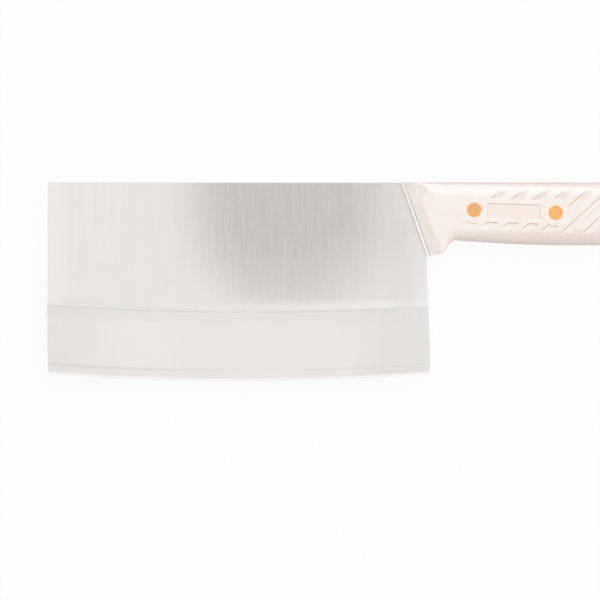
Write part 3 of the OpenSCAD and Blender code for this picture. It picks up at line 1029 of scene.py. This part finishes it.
PIXEL = 0.531
BLADE_FRONT_PX = 47.5
SPINE_PX = 182.5
PICTURE_PX = 600
LENS = 400
SENSOR = 36

FLOOR_W = 12
FLOOR_GREY = (0.9, 0.9, 0.9, 1)
FLOOR_GLOW = 0.93
WHITE = (1, 1, 1, 1)
WORLD_LIGHT = 0.66
WORLD_SLANT = 0.3
WORLD_WARM = (1, 0.9, 0.85, 1)
KEY_POWER = 5
KEY_SIZE = (1.2, 0.7)
KEY_DISTANCE = 1.06
KEY_HEIGHT = 55
KEY_TURN = 22
# The dark patch in the flat, in pixels of the photograph, and the card that it is a reflection of
SHADE_AT = (288, 196)
SHADE_SIZE = (96, 125)
SHADE_LOW_PX = 304
SHADE_W = 0.36
SHADE_HEIGHT = 0.13
SHADE_LIGHT = 0.67


def at_pixel(x, y):
    """The place in the part's frame of a pixel of the photograph, in metres."""
    return to_part((x - BLADE_FRONT_PX) * PIXEL, -(y - SPINE_PX) * PIXEL)


def add_object(name, data, place=(0, 0, 0), turn=(0, 0, 0)):
    new = bpy.data.objects.new(name, data)
    new.location = place
    new.rotation_euler = turn
    bpy.context.scene.collection.objects.link(new)
    return new


def plane(name, width, place):
    """A staged level square."""
    data = bpy.data.meshes.new(name)
    half = width / 2
    corners = [(-half, -half, 0), (half, -half, 0), (half, half, 0), (-half, half, 0)]
    data.from_pydata(corners, [], [(0, 1, 2, 3)])
    new = add_object(name, data, place)
    return new


def seen_directly(nodes):
    """1 for rays from the camera, from a glossy surface or through glass."""
    path = nodes.add("ShaderNodeLightPath")
    seen = nodes.math("MAXIMUM", path.outputs["Is Camera Ray"], path.outputs["Is Glossy Ray"])
    return nodes.math("MAXIMUM", seen, path.outputs["Is Transmission Ray"])


def add_camera():
    data = bpy.data.cameras.new("camera")
    data.lens = LENS
    data.sensor_width = SENSOR
    x, y = at_pixel(PICTURE_PX / 2, PICTURE_PX / 2)
    distance = PICTURE_PX * PIXEL * MM * LENS / SENSOR
    camera = add_object("camera", data, (x, y, HALF_T * MM + distance))
    data.clip_end = 2 * distance
    bpy.context.scene.camera = camera


def add_floor():
    """A pale floor that looks white and keeps the knife's shadow."""
    floor_material, nodes = material("floor")
    diffuse = nodes.add("ShaderNodeBsdfDiffuse", {"Color": FLOOR_GREY})
    glow = nodes.add("ShaderNodeEmission", {"Color": WHITE, "Strength": 1.0})
    share = nodes.times(seen_directly(nodes), FLOOR_GLOW)
    both = nodes.join(share, diffuse, glow)
    nodes.add("ShaderNodeOutputMaterial", {"Surface": both})
    floor = plane("floor", FLOOR_W, (0, 0, 0))
    paint(floor, floor_material)


def add_world():
    """Even light from all sides, a little dimmer from the blade's side, and white where it is seen."""
    world = bpy.data.worlds.new("studio")
    bpy.context.scene.world = world
    nodes = Nodes(world)
    x, y, _ = nodes.parts(nodes.add("ShaderNodeTexCoord").outputs["Generated"])
    strength = nodes.math("ADD", nodes.times(x, WORLD_SLANT), WORLD_LIGHT)
    colour = nodes.mix(nodes.spread(y, -0.7, 0.5), WORLD_WARM, WHITE)
    light = nodes.add("ShaderNodeBackground", {"Color": colour, "Strength": strength})
    white = nodes.add("ShaderNodeBackground", {"Color": WHITE, "Strength": 1.0})
    both = nodes.join(seen_directly(nodes), light, white)
    nodes.add("ShaderNodeOutputWorld", {"Surface": both})


def add_key():
    """A large soft lamp beyond the spine, a little towards the butt."""
    data = bpy.data.lights.new("key", "AREA")
    data.shape = "RECTANGLE"
    data.size, data.size_y = KEY_SIZE
    data.energy = KEY_POWER
    x, y = at_pixel(PICTURE_PX / 2, PICTURE_PX / 2)
    turn = math.radians(KEY_TURN)
    level = KEY_DISTANCE * math.cos(math.radians(KEY_HEIGHT))
    place = (x + level * math.sin(turn), y + level * math.cos(turn),
             KEY_DISTANCE * math.sin(math.radians(KEY_HEIGHT)))
    add_object("key", data, place, (math.radians(KEY_HEIGHT - 90), 0, -turn))


def add_shade():
    """A soft grey card overhead that only glossy surfaces see, as the dark patch in the flat."""
    card_material, nodes = material("shade")
    x, y, _ = nodes.parts(nodes.place())
    from_x = nodes.less(x, (SHADE_AT[0] - PICTURE_PX / 2) * PIXEL * MM)
    from_y = nodes.less(y, (PICTURE_PX / 2 - SHADE_AT[1]) * PIXEL * MM)
    across_x = nodes.math("DIVIDE", from_x, SHADE_SIZE[0] * PIXEL * MM)
    across_y = nodes.math("DIVIDE", from_y, SHADE_SIZE[1] * PIXEL * MM)
    squares = nodes.math("ADD", nodes.times(across_x, across_x), nodes.times(across_y, across_y))
    out_from = nodes.math("SQRT", squares)
    left = nodes.spread(out_from, 0.74, 1.2, 1.0, 0.0)
    right = nodes.spread(out_from, 0.55, 1.5, 1.0, 0.0)
    blob = nodes.blend(nodes.spread(across_x, -0.4, 0.4), left, right)
    low_edge = (PICTURE_PX / 2 - SHADE_LOW_PX) * PIXEL * MM
    above_edge = nodes.spread(y, low_edge - 3 * MM, low_edge + 3 * MM)
    fade = nodes.spread(y, low_edge, low_edge + 45 * MM, 0.75, 1.0)
    strength = nodes.blend(nodes.times(blob, above_edge, fade), 1.0, SHADE_LIGHT)
    glow = nodes.add("ShaderNodeEmission", {"Color": WHITE, "Strength": strength})
    nodes.add("ShaderNodeOutputMaterial", {"Surface": glow.outputs[0]})
    camera = bpy.context.scene.camera.location
    card = plane("shade", SHADE_W, (camera.x, camera.y, SHADE_HEIGHT))
    card.scale = [1 + SHADE_HEIGHT / camera.z] * 3
    paint(card, card_material)
    card.visible_camera = False
    card.visible_diffuse = False
    card.visible_shadow = False
    card.visible_transmission = False
    card.visible_volume_scatter = False


add_camera()
add_floor()
add_world()
add_key()
add_shade()
bpy.context.scene.view_settings.view_transform = "Standard"
